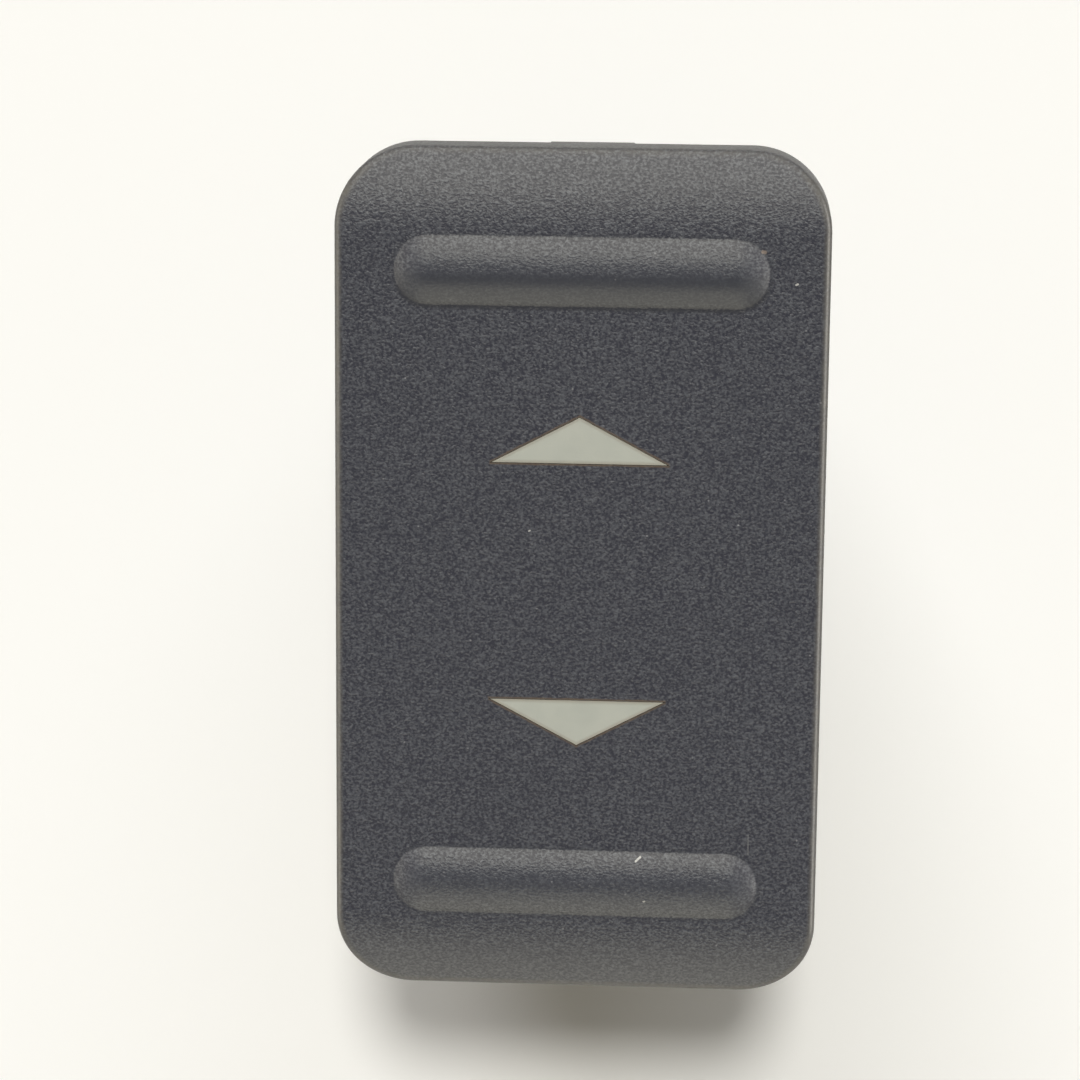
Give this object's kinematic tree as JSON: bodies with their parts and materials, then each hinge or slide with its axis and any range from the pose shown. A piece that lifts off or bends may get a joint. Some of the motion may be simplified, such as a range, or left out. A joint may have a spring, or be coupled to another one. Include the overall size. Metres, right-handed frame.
{
  "type": "power window switch",
  "caption": "Clip-in rocker switch for a power window: grained cap with raised finger bars and lit arrows over a sprung reversing contact set, with a tab connector at the rear.",
  "frame": {"origin": "middle of the seat on the panel's face, under the housing's flange", "axes": "+X across the cap, +Y towards the up arrow, +Z out of the panel towards the user"},
  "size_m": [0.028, 0.0494, 0.0374],
  "materials": {
    "cap_plastic": "fine leather grain, satin",
    "guide_plastic": "translucent, smooth",
    "housing_plastic": "fine spark texture",
    "base_plastic": "fine spark texture",
    "plunger_plastic": "natural, smooth",
    "spring_steel": "drawn wire",
    "blade_copper": "stamped copper",
    "contact_silver": "silver rivet",
    "terminal_brass": "stamped brass",
    "board_green": "solder resist",
    "led_body": "white body, clear fill",
    "resistor_body": "glazed"
  },
  "bodies": {
    "housing": {"housing": "housing_plastic", "terminal_base": "base_plastic", "fixed_contacts": "contact_silver", "common_terminal_left": "terminal_brass", "common_terminal_right": "terminal_brass", "throw_terminal_left_up": "terminal_brass", "throw_terminal_left_down": "terminal_brass", "throw_terminal_right_up": "terminal_brass", "throw_terminal_right_down": "terminal_brass", "lamp_terminal_left": "terminal_brass", "lamp_terminal_right": "terminal_brass", "lamp_board": "board_green", "led_up": "led_body", "led_down": "led_body", "lamp_resistor": "resistor_body"},
    "rocker": {"rocker_cap": "cap_plastic", "arrow_light_guide": "guide_plastic", "plunger_spring_left": "spring_steel", "plunger_spring_right": "spring_steel"},
    "plunger_left": {"plunger_left": "plunger_plastic"},
    "plunger_right": {"plunger_right": "plunger_plastic"},
    "blade_left": {"contact_blade_left": "blade_copper", "moving_contacts_left": "contact_silver"},
    "blade_right": {"contact_blade_right": "blade_copper", "moving_contacts_right": "contact_silver"}
  },
  "joints": [
    {"name": "rocker_tilt", "type": "hinge", "parent": "housing", "child": "rocker", "pos_m": [0, 0, 0.003], "axis": [1, 0, 0], "range_deg": [-6, 6], "stiffness_Nm_per_rad": 0.5},
    {"name": "plunger_left_slide", "type": "slide", "parent": "rocker", "child": "plunger_left", "axis": [0, 0, 1], "range_m": [0, 0.0008], "stiffness_N_per_m": 400, "springref_m": -0.002, "deforming": ["plunger_spring_left"]},
    {"name": "plunger_right_slide", "type": "slide", "parent": "rocker", "child": "plunger_right", "axis": [0, 0, 1], "range_m": [0, 0.0008], "stiffness_N_per_m": 400, "springref_m": -0.002, "deforming": ["plunger_spring_right"]},
    {"name": "contact_blade_left_tilt", "type": "hinge", "parent": "housing", "child": "blade_left", "pos_m": [-0.005, 0, -0.00682], "axis": [1, 0, 0], "range_deg": [-6.7, 6.7]},
    {"name": "contact_blade_right_tilt", "type": "hinge", "parent": "housing", "child": "blade_right", "pos_m": [0.005, 0, -0.00682], "axis": [1, 0, 0], "range_deg": [-6.7, 6.7]}
  ],
  "couplings": [
    {"joint": "contact_blade_left_tilt", "follows": "rocker_tilt", "ratio": -1.1},
    {"joint": "contact_blade_right_tilt", "follows": "rocker_tilt", "ratio": -1.1}
  ]
}
